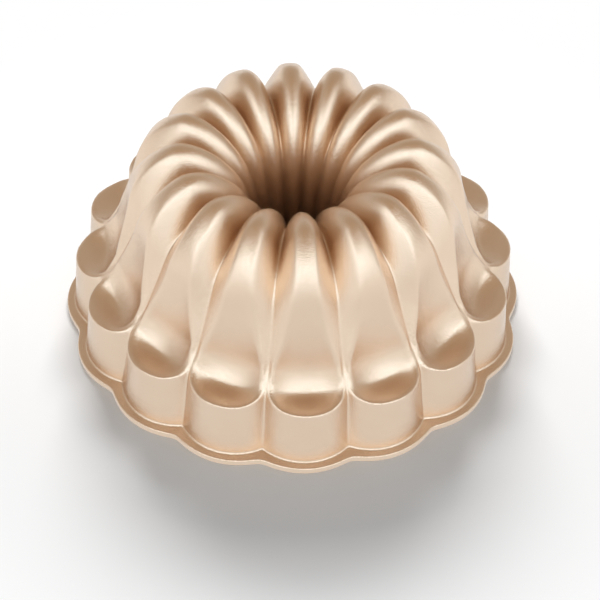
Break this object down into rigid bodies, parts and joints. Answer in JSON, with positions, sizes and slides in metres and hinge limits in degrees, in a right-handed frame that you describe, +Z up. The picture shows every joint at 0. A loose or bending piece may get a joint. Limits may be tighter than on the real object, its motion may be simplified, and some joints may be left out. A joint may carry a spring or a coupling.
{
  "type": "fluted tube pan",
  "caption": "Round fluted cake pan with a hollow centre tube, ribbed crown, spoon-shaped dishes round the shoulder and a scalloped rim flange; shown rim down.",
  "frame": {"origin": "centre of the rim's resting face, on the tube's axis", "axes": "+Z up along the tube from the rim to the ribbed crown, -Y towards the rib that faces the viewer"},
  "size_m": [0.248, 0.248, 0.1122],
  "materials": {
    "gold_finish": "satin champagne-gold coat, fired on over the casting",
    "release_coat": "smooth satin release coat, same gold family"
  },
  "bodies": {
    "root": {"cast_shell": "gold_finish", "nonstick_lining": "release_coat"}
  },
  "joints": []
}
